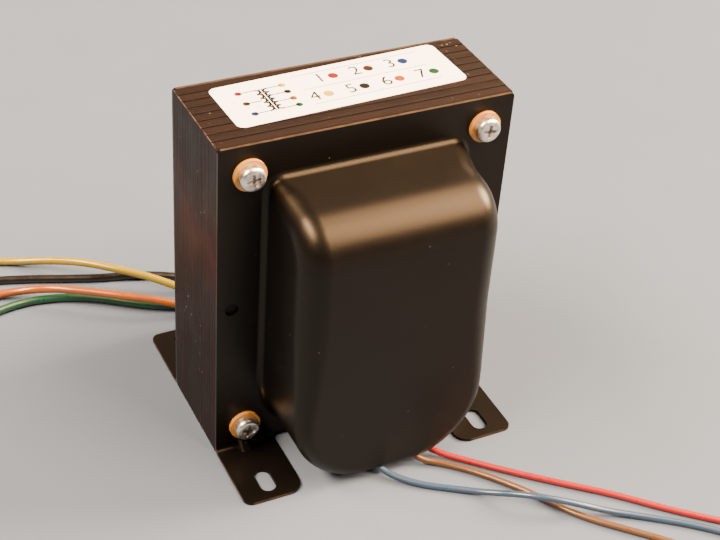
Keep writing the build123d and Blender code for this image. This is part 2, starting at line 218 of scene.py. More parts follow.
# Name, place, width and height in metres, power in watts, colour.
softboxes = [
    ("front_light", (1.68, -1.97, 2.88), 1.75, 2.6, 600, amber),
    ("top_light", (1.65, -0.15, 3.5), 1.75, 1.95, 290, amber),
    ("back_light", (1.47, 2.15, 3.0), 2.8, 2.8, 30, amber),
    ("left_light", (-2.31, 0.15, 3.08), 3.0, 0.77, 1000, straw),
    ("right_light", (3.15, -0.37, 1.95), 1.5, 1.75, 1300, (1.0, 0.68, 0.40)),
]
lit_point = Vector((0, 0, 60)) * mm
for name, place, width, height, power, colour in softboxes:
    lamp = put(name, bpy.data.lights.new(name, "AREA"))
    lamp.data.shape = "RECTANGLE"
    lamp.data.size = width
    lamp.data.size_y = height
    lamp.data.energy = power
    lamp.data.color = colour
    lamp.location = place
    lamp.rotation_euler = (lit_point - lamp.location).to_track_quat("-Z", "Y").to_euler()


# Laminated core
# Thin steel plates, an E and an I in each layer, turned round from pack to pack
# and dipped in brown varnish. Their edges stand a hair proud or shy of each other.

def to_mesh(name, bm):
    """A mesh of what a bmesh holds."""
    mesh = bpy.data.meshes.new(name)
    bm.to_mesh(mesh)
    bm.free()
    return mesh


def evaluated_mesh(holder):
    """The plain mesh that an object makes with its modifiers; the object goes."""
    graph = bpy.context.evaluated_depsgraph_get()
    mesh = bpy.data.meshes.new_from_object(holder.evaluated_get(graph))
    holder.modifiers.clear()
    bpy.data.objects.remove(holder)
    return mesh


class Shape(Nodes):
    """A Geometry Nodes tree with named inputs, run once to make a plain mesh."""

    def __init__(self, name, **sizes):
        self.tree = bpy.data.node_groups.new(name, "GeometryNodeTree")
        self.tree.interface.new_socket("Geometry", in_out="INPUT", socket_type="NodeSocketGeometry")
        self.tree.interface.new_socket("Geometry", in_out="OUTPUT", socket_type="NodeSocketGeometry")
        self.sizes = {}
        for label, value in sizes.items():
            kind = "NodeSocketInt" if isinstance(value, int) else "NodeSocketFloat"
            socket = self.tree.interface.new_socket(label, in_out="INPUT", socket_type=kind)
            self.sizes[socket.identifier] = value
        self.group_input = self.tree.nodes.new("NodeGroupInput")

    def given(self, label):
        return Value(self, self.group_input.outputs[label])

    def chance(self, low, high, seed, per=None):
        """A random number between low and high for each element."""
        sockets = {2: low, 3: high, "Seed": seed}
        if per:
            sockets["ID"] = per
        return self.node("FunctionNodeRandomValue", {"data_type": "FLOAT"}, sockets, 1)

    def run(self, geometry, finish, start_mesh=None):
        """End the tree, evaluate it once, and return the mesh that it makes."""
        real = self.node("GeometryNodeRealizeInstances", {}, {0: geometry})
        done = self.node("GeometryNodeSetMaterial", {}, {0: real, "Material": finish.material})
        end = self.tree.nodes.new("NodeGroupOutput")
        self.tree.links.new(done.socket, end.inputs[0])
        holder = put("holder", start_mesh or bpy.data.meshes.new("empty"))
        modifier = holder.modifiers.new("shape", "NODES")
        modifier.node_group = self.tree
        for identifier, value in self.sizes.items():
            modifier[identifier] = value
        return evaluated_mesh(holder)


def add_piece(name, mesh, slot, *stands_for):
    """Put a finished mesh in the scene as a piece of the root body."""
    piece = put(name, mesh)
    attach(piece, "root")
    if stands_for:
        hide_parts(*stands_for)
    return piece


core_width, core_height, core_depth = 95.25 * mm, 114.3 * mm, 34.9 * mm
core_bottom = 0.4 * mm
core_top = core_bottom + core_height
leg, tongue = 19.05 * mm, 38.1 * mm
window_length = core_width - 2 * leg
window_inner, window_outer = tongue / 2, core_height / 2 - leg
plates, plates_in_pack = 72, 8
plate_pitch = core_depth / plates
bolt_x, bolt_z = (core_width - leg) / 2, (core_height - leg) / 2


def circle(x, z, radius, sides):
    """The corners of a circle, in order."""
    steps = [2 * pi * k / sides for k in range(sides)]
    return [(x + radius * cos(step), z + radius * sin(step)) for step in steps]


def cut_plate(bm, outline, holes, thickness, bevel):
    """A flat plate in the XZ plane, with holes and bevelled rims."""
    rim_angle = 1.2
    edges = []
    for ring in [outline, *holes]:
        corners = [bm.verts.new((x, -thickness / 2, z)) for x, z in ring]
        edges += [bm.edges.new(pair) for pair in zip(corners, corners[1:] + corners[:1])]
    faces = bmesh.ops.triangle_fill(bm, edges=edges, use_beauty=True)["geom"]
    faces = [item for item in faces if isinstance(item, bmesh.types.BMFace)]
    grown = bmesh.ops.extrude_face_region(bm, geom=faces, use_keep_orig=True)["geom"]
    corners = [item for item in grown if isinstance(item, bmesh.types.BMVert)]
    bmesh.ops.translate(bm, verts=corners, vec=(0, thickness, 0))
    bmesh.ops.recalc_face_normals(bm, faces=bm.faces)
    rims = [edge for edge in bm.edges if len(edge.link_faces) == 2 and edge.calc_face_angle() > rim_angle]
    bmesh.ops.bevel(bm, geom=rims, offset=bevel, segments=1, affect="EDGES")
    bmesh.ops.recalc_face_normals(bm, faces=bm.faces)


left, right = -core_width / 2, core_width / 2
half_window, half_height = window_length / 2, core_height / 2
comb = [
    (left, -half_height), (half_window, -half_height), (half_window, -window_outer),
    (-half_window, -window_outer), (-half_window, -window_inner), (half_window, -window_inner),
    (half_window, window_inner), (-half_window, window_inner), (-half_window, window_outer),
    (half_window, window_outer), (half_window, half_height), (left, half_height),
]
bar = [
    (half_window, -half_height), (right, -half_height), (right, half_height), (half_window, half_height),
]
hole_radius, hole_sides = 2.4 * mm, 12
bevel, plate_share = 0.05 * mm, 0.96
whole_layer = bmesh.new()
for outline, side in ((comb, -1), (bar, 1)):
    plate = bmesh.new()
    holes = [circle(side * bolt_x, z, hole_radius, hole_sides) for z in (-bolt_z, bolt_z)]
    cut_plate(plate, outline, holes, plate_share * plate_pitch, bevel)
    whole_layer.from_mesh(to_mesh("plate", plate))
layer_mesh = to_mesh("layer", whole_layer)

varnish = Finish("core_varnish", specular_ior_level=0.13)
pooled_brown, plain_brown = (0.0009, 0.0003, 0.0003), (0.0062, 0.0022, 0.0018)
reflected_red, core_dust, bare_steel_and_highlight = (0.020, 0.0040, 0.0032), (0.14, 0.11, 0.09), (0.09, 0.065, 0.05)
plate_tone = varnish.attribute("tone")
cloud = varnish.noise(11 * mm, detail=4.0)
streak = varnish.noise(1.6 * mm, detail=3.0, roughness=0.6, stretch=(0.06, 1.0, 0.12))
shade = (plate_tone * 0.45 + streak * 0.4 + cloud * 0.35).between(0.25, 0.85)
brown = varnish.blend(shade, pooled_brown, plain_brown)
# A painted reflection: a reddish band around 76 mm height, fading out over 19 mm, stands in for the warm
# reflection of the leads in the varnish.
reflection_height, reflection_reach, reflection_full_reach = 76 * mm, 19 * mm, 5 * mm
painted_reflection = abs(varnish.axis("Z") - reflection_height).between(reflection_reach, reflection_full_reach)
painted_reflection = painted_reflection * varnish.noise(10 * mm, detail=2.0).between(0.3, 0.6)
with_reflection = varnish.blend(painted_reflection * 0.6, brown, reflected_red)
dust_patch = varnish.noise(14 * mm, detail=2.0).between(0.5, 0.62)
dust = varnish.specks(spacing=2.6 * mm, size=0.42 * mm) * dust_patch
# The top side edges are painted lighter in patches: partly rubbed bare steel, partly a painted edge
# highlight.
edge_side_from, edge_side_full = core_width / 2 - 0.245 * mm, core_width / 2 - 0.045 * mm
edge_top_from, edge_top_full = core_top - 0.32 * mm, core_top - 0.1 * mm
corner = abs(varnish.axis("X")).between(edge_side_from, edge_side_full) * varnish.axis("Z").between(edge_top_from, edge_top_full)
rubbed_and_highlight = corner * varnish.noise(2.2 * mm, detail=2.0).between(0.36, 0.5)
varnish.set(
    base_color=varnish.blend(rubbed_and_highlight, varnish.blend(dust * 0.7, with_reflection, core_dust), bare_steel_and_highlight),
    roughness=(cloud * 0.4 + dust * 0.3 + streak * 0.25).between(0.1, 0.7, 0.34, 0.62),
)
varnish.relief(streak * 0.6 + cloud * 0.4, depth=0.04 * mm)

stack = Shape(
    "plate_stack", plates=plates, plates_in_pack=plates_in_pack, pitch=plate_pitch,
    middle=core_bottom + core_height / 2, unevenness=0.05 * mm, pack_unevenness=0.05 * mm,
    seam=0.2 * mm, seed=7,
)
number = stack.node("GeometryNodeInputIndex", {}, {})
pack = (number / stack.given("plates_in_pack")).floor()
seed = stack.given("seed")
first_y = (stack.given("plates") - 1) * stack.given("pitch") * -0.5
sideways = stack.chance(-0.5, 0.5, seed) * stack.given("unevenness")
sideways = sideways + stack.chance(-0.5, 0.5, seed + 1, pack) * stack.given("pack_unevenness")
lower = stack.chance(-1.0, 0.0, seed + 2) * stack.given("unevenness")
lower = lower + stack.chance(-1.0, 0.0, seed + 3, pack) * stack.given("pack_unevenness")
pack_start = (number % stack.given("plates_in_pack")).below(0.5)
lower = lower - pack_start * stack.given("seam")
line = stack.node("GeometryNodeMeshLine", {}, {
    "Count": stack.given("plates"),
    "Start Location": stack.vector(0.0, first_y, stack.given("middle")),
    "Offset": stack.vector(0.0, stack.given("pitch"), 0.0),
})
uneven = stack.node("GeometryNodeSetPosition", {}, {0: line, "Offset": stack.vector(sideways, 0.0, lower)})
turned = stack.node("GeometryNodeInstanceOnPoints", {}, {
    "Points": uneven,
    "Instance": Value(stack, stack.group_input.outputs[0]),
    "Rotation": stack.vector(0.0, 0.0, (pack % 2.0) * pi),
})
tone = stack.chance(0.0, 0.5, seed + 4) + stack.chance(0.0, 0.5, seed + 5, pack)
toned = stack.node(
    "GeometryNodeStoreNamedAttribute", {"data_type": "FLOAT", "domain": "INSTANCE"},
    {0: turned, "Name": "tone", "Value": tone},
)
core_mesh = stack.run(toned, varnish, layer_mesh)
solid_packs = 6
kinds = ("e_laminations_", "i_laminations_")
core_nodes = [kind + str(k + 1) for kind in kinds for k in range(solid_packs)]
add_piece("plate_stack", core_mesh, "lamination_steel", *core_nodes)


# Coil and tape pads
# Enamelled copper in paper layers on a pressboard tube, wrapped in varnished
# paper. Folded cotton tape holds the leads. Only its low side can be seen.

def wear(finish, *nodes):
    """Give CAD pieces one material."""
    for node in nodes:
        piece = bpy.data.objects[node]
        piece.data.materials.clear()
        piece.data.materials.append(finish.material)


pressboard = Finish("pressboard", roughness=0.8)
board_brown, board_tan = (0.34, 0.24, 0.13), (0.52, 0.40, 0.25)
pressboard.set(base_color=pressboard.blend(pressboard.noise(1 * mm, detail=5.0), board_brown, board_tan))
wear(pressboard, "coil_tube")

wire_width = 0.5 * mm
copper = Finish("enamelled_copper", metallic=1.0, roughness=0.3)
copper_dark, copper_bright = (0.42, 0.16, 0.07), (0.60, 0.27, 0.13)
wire_round = abs((copper.axis("X") / wire_width) % 1.0 - 0.5)
copper.set(base_color=copper.blend(copper.noise(4 * mm), copper_dark, copper_bright))
copper.relief(wire_round, depth=0.2 * mm)
wear(copper, "inner_primary_winding", "secondary_winding", "outer_primary_winding")

kraft = Finish("kraft_paper", roughness=0.7)
kraft_brown, kraft_tan = (0.36, 0.25, 0.13), (0.56, 0.42, 0.25)
fibres = kraft.noise(1.2 * mm, detail=6.0, roughness=0.7, stretch=(0.3, 1, 1))
kraft.set(base_color=kraft.blend(fibres, kraft_brown, kraft_tan))
kraft.relief(fibres, depth=0.06 * mm)
wear(kraft, "inner_layer_paper", "outer_layer_paper")

wrap = Finish("varnished_wrap", coat_weight=0.5, coat_roughness=0.2)
soaked_brown, dry_tan = (0.20, 0.11, 0.045), (0.40, 0.26, 0.12)
stains = wrap.noise(9 * mm, detail=4.0)
wrap.set(
    base_color=wrap.blend(stains.between(0.35, 0.65), soaked_brown, dry_tan),
    roughness=stains.between(0.3, 0.7, 0.35, 0.6),
)
wrap.relief(wrap.noise(3 * mm), depth=0.1 * mm)
wear(wrap, "coil_wrap")

thread = 0.45 * mm
tape = Finish("cotton_tape", roughness=0.85)
cotton_dull, cotton_clean = (0.50, 0.44, 0.33), (0.68, 0.63, 0.52)
across = (tape.axis("X") * (2 * pi / thread)).sine()
along = (tape.axis("Z") * (2 * pi / thread)).sine()
tape.set(base_color=tape.blend(tape.noise(4 * mm), cotton_dull, cotton_clean))
tape.relief((across * along).between(-1.0, 1.0), depth=0.15 * mm)
wear(tape, "front_lead_pad", "rear_lead_pad")


# End bells
# Drawn from 1 mm sheet and sprayed in satin black. The rims where the sheet was cut are painted a lighter
# tan in patches, partly thin enamel and partly a painted highlight. The dome's nose and side edges are
# eased rounder than the CAD's.

enamel = Finish("bell_enamel", specular_ior_level=0.2, specular_tint=(1.0, 0.86, 0.70, 1))
enamel_thick, enamel_thin = (0.0007, 0.0007, 0.0008), (0.0016, 0.0015, 0.0016)
rim_tan_highlight, bell_dust = (0.045, 0.030, 0.020), (0.09, 0.075, 0.06)
grain = enamel.noise(1.1 * mm, detail=2.0)
mottle = enamel.noise(13 * mm, detail=3.0)
dusty_patch = enamel.noise(20 * mm, detail=2.0).between(0.45, 0.6)
settled = enamel.specks(spacing=6 * mm, size=0.32 * mm) * dusty_patch
toe_reach = 44.25 * mm
# The flange's top rim and the feet's rims are painted a lighter tan in patches: partly thin enamel, partly
# a painted highlight.
top_rim = enamel.axis("Z").between(core_top - 0.08 * mm, core_top - 0.01 * mm)
toe_rim = abs(enamel.axis("Y")).between(toe_reach - 0.06 * mm, toe_reach - 0.01 * mm)
foot_rim = abs(enamel.axis("X")).between(core_width / 2 - 0.065 * mm, core_width / 2 - 0.025 * mm)
on_foot = enamel.axis("Z").between(3 * mm, 2 * mm)
rim_patchiness = enamel.noise(4 * mm, detail=4.0, roughness=0.7).between(0.2, 0.6)
sheared_and_highlight = top_rim.larger(toe_rim.larger(foot_rim) * on_foot) * rim_patchiness
black = enamel.blend(mottle, enamel_thick, enamel_thin)
with_rim_highlight = enamel.blend(sheared_and_highlight * 0.8, black, rim_tan_highlight)
enamel.set(
    base_color=enamel.blend(settled * 0.5, with_rim_highlight, bell_dust),
    roughness=(mottle * 0.5 + grain * 0.5).between(0.3, 0.7, 0.32, 0.38),
)
enamel.relief(grain, depth=0.014 * mm)

flange_face, dome_depth, dome_half = 18.45 * mm, 29.2 * mm, 32.2 * mm
dome_top = 102.1 * mm
top_lean, side_lean = radians(7.5), radians(0.25)
drawn_nose, drawn_edge = 10.5 * mm, 5.0 * mm
soft_nose, soft_edge = 15.0 * mm, 8.0 * mm
off_flange, lowest_cut = flange_face + 1 * mm, 29 * mm
skin_depth, same_way, crease = 0.05 * mm, 0.5, 0.6

# The form softens over the first two ranges, by height and by distance out of
# the flange. Its shading gets there sooner.
soft_from, soft_above = 30 * mm, 60 * mm
root_from, soft_beyond = 2.5 * mm, 10 * mm
shaded_above, shaded_beyond = 45 * mm, 6 * mm
x_axis, y_axis, z_axis = Vector((1, 0, 0)), Vector((0, 1, 0)), Vector((0, 0, 1))


def ramp(value, low, high):
    """How far a value has come from low to high, from 0 to 1."""
    return min(max((value - low) / (high - low), 0), 1)


def beyond_dome(place, nose, edge):
    """How far a point lies outside the dome, for a rounding of its nose and of its edges."""
    out = abs(place.y) - flange_face
    nose_out = out - (dome_depth - nose)
    nose_up = place.z - (dome_top - nose / cos(top_lean) - (dome_depth - nose) * tan(top_lean))
    turn = min(max(atan2(nose_up, nose_out), 0), pi / 2 - top_lean)
    front = nose_out * cos(turn) + nose_up * sin(turn) - nose
    side = abs(place.x) - (dome_half - out * tan(side_lean))
    return hypot(max(front + edge, 0), max(side + edge, 0)) + min(max(front, side) + edge, 0) - edge


def edge_rounding(place):
    """The softer edge rounding; it fades out at the root and towards the open bottom."""
    out = abs(place.y) - flange_face
    share = ramp(place.z, soft_from, soft_above) * ramp(out, root_from, soft_beyond)
    return drawn_edge + (soft_edge - drawn_edge) * share


def outward(place):
    """The direction that leads straight out of the softer dome."""
    step, edge = 0.01 * mm, edge_rounding(place)
    here = beyond_dome(place, soft_nose, edge)
    nearby = [place + axis * step for axis in (x_axis, y_axis, z_axis)]
    return Vector([beyond_dome(near, soft_nose, edge) - here for near in nearby]).normalized()


def ease(place):
    """Move a point of the drawn dome on to the softer one."""
    depth = beyond_dome(place, drawn_nose, drawn_edge)
    for _ in range(4):
        place = place - outward(place) * (beyond_dome(place, soft_nose, edge_rounding(place)) - depth)
    return place


def dome_cuts(side):
    """Planes that slice the drawn dome where its form gets softer: an axis, and a place on it."""
    edge_slices, nose_slices, slope_slices = 8, 12, 14
    slope_reach = 1.35 * soft_nose
    root_outs, side_heights = (3, 4, 5, 6, 7, 8, 9, 10, 12), range(34, 74, 5)
    cuts = [(z_axis, lowest_cut)]
    for x in (-1, 1):
        cuts += [(x_axis, x * (dome_half - soft_edge * k / edge_slices)) for k in range(1, edge_slices + 1)]
    outs = [dome_depth - soft_nose * k / nose_slices for k in range(1, nose_slices + 1)]
    cuts += [(y_axis, side * (flange_face + out)) for out in outs]
    cuts += [(z_axis, dome_top - slope_reach * k / slope_slices) for k in range(2, slope_slices + 1)]
    cuts += [(y_axis, side * (flange_face + out * mm)) for out in root_outs]
    cuts += [(z_axis, height * mm) for height in side_heights]
    return cuts


for node in ("front_end_bell", "rear_end_bell"):
    bell = bmesh.new()
    bell.from_mesh(bpy.data.objects[node].data)
    bmesh.ops.remove_doubles(bell, verts=bell.verts, dist=0.001 * mm)
    for axis, at in dome_cuts(-1 if node.startswith("front") else 1):
        dome = [f for f in bell.faces if max(v.co.z for v in f.verts) > lowest_cut + 0.01 * mm]
        dome = [f for f in dome if max(abs(v.co.y) for v in f.verts) > off_flange]
        around = list(dict.fromkeys(part for f in dome for part in (*f.verts, *f.edges, f)))
        bmesh.ops.bisect_plane(bell, geom=around, dist=0.0005 * mm, plane_co=axis * at, plane_no=axis)
    for vert in bell.verts:
        if vert.co.z > soft_from and abs(vert.co.y) > off_flange:
            vert.co = ease(vert.co)
    for edge in bell.edges:
        edge.smooth = len(edge.link_faces) == 2 and edge.calc_face_angle() < crease
    for face in bell.faces:
        face.smooth = True
    holder = put("holder", to_mesh("bell", bell))
    holder.modifiers.new("shading", "WEIGHTED_NORMAL").keep_sharp = True
    shaded = evaluated_mesh(holder)
    normals = [corner.vector.copy() for corner in shaded.corner_normals]
    for corner in shaded.loops:
        place = shaded.vertices[corner.vertex_index].co
        own, true = normals[corner.index], outward(place)
        off_skin = abs(beyond_dome(place, soft_nose, edge_rounding(place)))
        if off_skin < skin_depth and own.dot(true) > same_way:
            share = ramp(abs(place.y) - flange_face, root_from, shaded_beyond)
            share = share * ramp(place.z, soft_from, shaded_above)
            normals[corner.index] = own.lerp(true, share).normalized()
    shaded.normals_split_custom_set(normals)
    shaded.materials.clear()
    shaded.materials.append(enamel.material)
    add_piece(node.replace("_end_bell", "_bell"), shaded, "bell_enamel", node)


# Clamping screws, nuts and lock washers
# Plated steel, brighter and cloudier from place to place. The tails show their threads behind the nuts.

plating = Finish("nickel_plating", metallic=1.0)
plating_dull, plating_bright = (0.50, 0.48, 0.46), (0.80, 0.79, 0.77)
cloudy = plating.noise(1.6 * mm, detail=3.0)
plating.set(
    base_color=plating.blend(cloudy.between(0.35, 0.7), plating_dull, plating_bright),
    roughness=cloudy.between(0.3, 0.7, 0.26, 0.42),
)
plating.relief(plating.noise(0.7 * mm, detail=2.0), depth=0.012 * mm)
wear(plating, "clamp_screws", "lock_washers", "hex_nuts")

thread_start, thread_end = 24.05 * mm, 25.35 * mm
threads = Shape(
    "screw_threads", pitch=0.79 * mm, length=thread_end - thread_start, radius=2.03 * mm, ridge=0.16 * mm,
)
turns = threads.given("length") / threads.given("pitch")
ridge_size = {"Resolution": 4, "Radius": threads.given("ridge")}
helix = threads.node("GeometryNodeCurveSpiral", {}, {
    "Resolution": 20, "Rotations": turns, "Height": threads.given("length"),
    "Start Radius": threads.given("radius"), "End Radius": threads.given("radius"),
})
ridge = threads.node("GeometryNodeCurvePrimitiveCircle", {}, ridge_size)
wound = threads.node("GeometryNodeCurveToMesh", {}, {0: helix, 1: ridge, "Fill Caps": True})
thread_mesh = threads.run(wound, plating)
tails = bmesh.new()
for x in (-bolt_x, bolt_x):
    for z in (-bolt_z, bolt_z):
        tail = thread_mesh.copy()
        spot = Matrix.Translation((x, thread_start, core_bottom + core_height / 2 + z))
        tail.transform(spot @ Matrix.Rotation(-pi / 2, 4, "X"))
        tails.from_mesh(tail)
bmesh.ops.recalc_face_normals(tails, faces=tails.faces)
tails_mesh = to_mesh("screw_threads", tails)
tails_mesh.materials.append(plating.material)
add_piece("screw_threads", tails_mesh, "plated_steel")


# Fibre washers
# Punched from vulcanised fibre, with a shoulder that keeps each screw clear of
# the bell. Tan and slightly waxy, with faint layers on the cut edge.

fibre = Finish("vulcanised_fibre", roughness=0.5)
fibre_brown, fibre_tan = (0.26, 0.11, 0.016), (0.46, 0.23, 0.048)
layers = fibre.noise(0.5 * mm, detail=2.0, roughness=0.5, stretch=(0.3, 2.5, 0.3))
patches = fibre.noise(3 * mm, detail=3.0)
paler = (layers * 0.5 + patches * 0.5).between(0.35, 0.65)
fibre.set(base_color=fibre.blend(paler, fibre_brown, fibre_tan))
fibre.relief(layers, depth=0.03 * mm)
wear(fibre, "front_fibre_washers", "rear_fibre_washers")


# Label
# A white satin sticker with round corners, a little askew on the plates. It
# carries a plain winding diagram and numbered spots in the colours of the leads.

label_shift, label_skew = 3.7 * mm, radians(2.3)
label_top = core_top + 0.1 * mm
print_bottom, print_top = label_top - 0.01 * mm, label_top + 0.015 * mm
half_label_x, half_label_y, label_round = 38.1 * mm, 11.7 * mm, 2.4 * mm
label_bm = bmesh.new()
label_bm.verts.layers.float_color.new("ink")
white, ink = (0.76, 0.80, 0.85), (0.003, 0.0015, 0.0015)
spot_sides = 20


def lay(points, top, bottom, colour):
    """A flat patch of the label or its print, between two heights."""
    sheet = bmesh.new()
    paint = sheet.verts.layers.float_color.new("ink")
    sheet.faces.new([sheet.verts.new((x, y, bottom)) for x, y in points])
    grown = bmesh.ops.extrude_face_region(sheet, geom=sheet.faces[:], use_keep_orig=True)["geom"]
    corners = [item for item in grown if isinstance(item, bmesh.types.BMVert)]
    bmesh.ops.translate(sheet, verts=corners, vec=(0, 0, top - bottom))
    bmesh.ops.recalc_face_normals(sheet, faces=sheet.faces)
    for corner in sheet.verts:
        corner[paint] = (*colour, 1)
    label_bm.from_mesh(to_mesh("patch", sheet))


def draw(points, width, colour=ink):
    """A printed stroke along points, in millimetres on the label."""
    path = [Vector(point) for point in points]
    before = [path[0], *path[:-1]]
    after = [*path[1:], path[-1]]
    sides = [(b - a).normalized().orthogonal() * width / 2 for a, b in zip(before, after)]
    left_side = [p + s for p, s in zip(path, sides)]
    right_side = [p - s for p, s in zip(path, sides)]
    for k in range(len(path) - 1):
        quad = [left_side[k], left_side[k + 1], right_side[k + 1], right_side[k]]
        lay([(p.x * mm, p.y * mm) for p in quad], print_top, print_bottom, colour)


def dot(x, y, radius, colour):
    """A printed round spot, in millimetres on the label."""
    lay(circle(x * mm, y * mm, radius * mm, spot_sides), print_top, print_bottom, colour)


corner_steps = 8
outline = []
for sx, sy, start in ((1, 1, 0), (-1, 1, 90), (-1, -1, 180), (1, -1, 270)):
    centre_x, centre_y = sx * (half_label_x - label_round), sy * (half_label_y - label_round)
    for k in range(corner_steps + 1):
        angle = radians(start + k * 90 / corner_steps)
        outline.append((centre_x + label_round * cos(angle), centre_y + label_round * sin(angle)))
lay(outline, label_top, core_top, white)

winding_stroke, lead_stroke, rule_stroke = 0.75, 0.45, 0.22
primary_x, secondary_x, winding_half, bulge = -25.6, -21.4, 6.0, 1.5
for x, towards, humps in ((primary_x, 1, 5), (secondary_x, -1, 6)):
    height = 2 * winding_half / humps
    for k in range(humps):
        middle = -winding_half + (k + 0.5) * height
        turns = [radians(angle) for angle in range(-90, 91, 18)]
        arc = [(x + towards * bulge * cos(turn), middle + height / 2 * sin(turn)) for turn in turns]
        draw(arc, winding_stroke)
core_lines, core_line_half = (-23.9, -23.1), 6.4
for x in core_lines:
    draw([(x, -core_line_half), (x, core_line_half)], lead_stroke)

# Red, brown and blue on one side; yellow, black, orange and green on the other.
lead_inks = [
    (0.10, 0.001, 0.002), (0.022, 0.007, 0.002), (0.003, 0.012, 0.060), (0.30, 0.24, 0.001),
    (0.002, 0.002, 0.002), (0.15, 0.032, 0.001), (0.001, 0.030, 0.008),
]
stub, end_dot = 5.0, 1.1
primary_taps, secondary_taps = (6.0, 0.0, -6.0), (6.0, 2.0, -2.0, -6.0)
diagram_ends = [(primary_x, -1, y) for y in primary_taps]
diagram_ends += [(secondary_x, 1, y) for y in secondary_taps]
for (x, towards, y), colour in zip(diagram_ends, lead_inks):
    end = x + towards * stub
    draw([(x, y), (end, y)], lead_stroke)
    dot(end, y, end_dot, colour)

figure_size, figure_step, spot_gap, spot = 7.0, 12.0, 4.4, 1.6
upper_x, upper_y, lower_x, lower_y = -4.0, 5.4, -10.0, -3.6
numbered = [(upper_x + k * figure_step, upper_y) for k in range(len(primary_taps))]
numbered += [(lower_x + k * figure_step, lower_y) for k in range(len(secondary_taps))]
for count, ((x, y), colour) in enumerate(zip(numbered, lead_inks), start=1):
    figure = bpy.data.curves.new("figure", "FONT")
    figure.body = str(count)
    figure.size = figure_size * mm
    figure.align_x = "CENTER"
    figure.align_y = "CENTER"
    flat = evaluated_mesh(put("figure", figure))
    for face in flat.polygons:
        corners = [flat.vertices[k].co for k in face.vertices]
        lay([(x * mm + p.x, y * mm + p.y) for p in corners], print_top, print_bottom, ink)
    dot(x + spot_gap, y, spot, colour)
rule_left, rule_right, rule_ys = -12.0, 31.0, (0.9, 9.2, -7.6)
for y in rule_ys:
    draw([(rule_left, y), (rule_right, y)], rule_stroke)

label_bm.transform(Matrix.Translation((0, label_shift, 0)) @ Matrix.Rotation(label_skew, 4, "Z"))
label_mesh = to_mesh("label", label_bm)
sticker = Finish("label_stock", specular_ior_level=0.25)
grime_brown = (0.05, 0.04, 0.03)
printed = sticker.attribute("ink", "Color")
grime = sticker.noise(12 * mm, detail=4.0).between(0.4, 0.75)
sticker.set(
    base_color=sticker.blend(grime * 0.1, printed, grime_brown),
    roughness=sticker.noise(3 * mm).between(0.3, 0.7, 0.34, 0.5),
)
ripple = sticker.noise(0.9 * mm, detail=2.0, roughness=0.5, stretch=(0.05, 1.0, 1.0))
sticker.relief(ripple, depth=0.03 * mm)
label_mesh.materials.append(sticker.material)
add_piece("rating_sticker", label_mesh, "label", "rating_label")


# Leads
# Stranded wire in soft vinyl, three under the front bell and four under the
# rear one. They drop out of the coil and lie loose on the table, ends bared.

tinned = Finish("tinned_strands", metallic=1.0)
tin_grey, tin_bright = (0.50, 0.48, 0.44), (0.74, 0.73, 0.70)
dull = tinned.noise(0.9 * mm, detail=3.0)
tinned.set(
    base_color=tinned.blend(dull, tin_grey, tin_bright),
    roughness=dull.between(0.3, 0.7, 0.28, 0.45),
)
bared = 8.0 * mm


def twisted_strands(wire_diameter):
    """Seven strands, six of them wound round the middle one, along +Z."""
    bundle = Shape(
        "twisted_strands", length=bared, strand_radius=wire_diameter / 6, turns=1.6, outer_strands=6,
    )
    radius = bundle.given("strand_radius")
    section = bundle.node("GeometryNodeCurvePrimitiveCircle", {}, {"Resolution": 10, "Radius": radius})
    coil = bundle.node("GeometryNodeCurveSpiral", {}, {
        "Resolution": 16, "Rotations": bundle.given("turns"), "Height": bundle.given("length"),
        "Start Radius": radius * 2, "End Radius": radius * 2,
    })
    middle = bundle.node("GeometryNodeCurvePrimitiveLine", {}, {
        "Start": (0, 0, 0), "End": bundle.vector(0.0, 0.0, bundle.given("length")),
    })
    outer = bundle.node("GeometryNodeCurveToMesh", {}, {0: coil, 1: section, "Fill Caps": True})
    inner = bundle.node("GeometryNodeCurveToMesh", {}, {0: middle, 1: section, "Fill Caps": True})
    spokes = bundle.node("GeometryNodeMeshLine", {}, {
        "Count": bundle.given("outer_strands"), "Offset": (0, 0, 0),
    })
    share = bundle.node("GeometryNodeInputIndex", {}, {}) / bundle.given("outer_strands")
    wound = bundle.node("GeometryNodeInstanceOnPoints", {}, {
        "Points": spokes, "Instance": outer, "Rotation": bundle.vector(0.0, 0.0, share * (2 * pi)),
    })
    return bundle.run(bundle.node("GeometryNodeJoinGeometry", {}, {0: [wound, inner]}), tinned)


front_lead, rear_lead = 2.1, 2.9
front_wire, rear_wire = 0.9 * mm, 1.3 * mm
strands = {front_lead: twisted_strands(front_wire), rear_lead: twisted_strands(rear_wire)}

fading, chalk = 0.75, 0.002

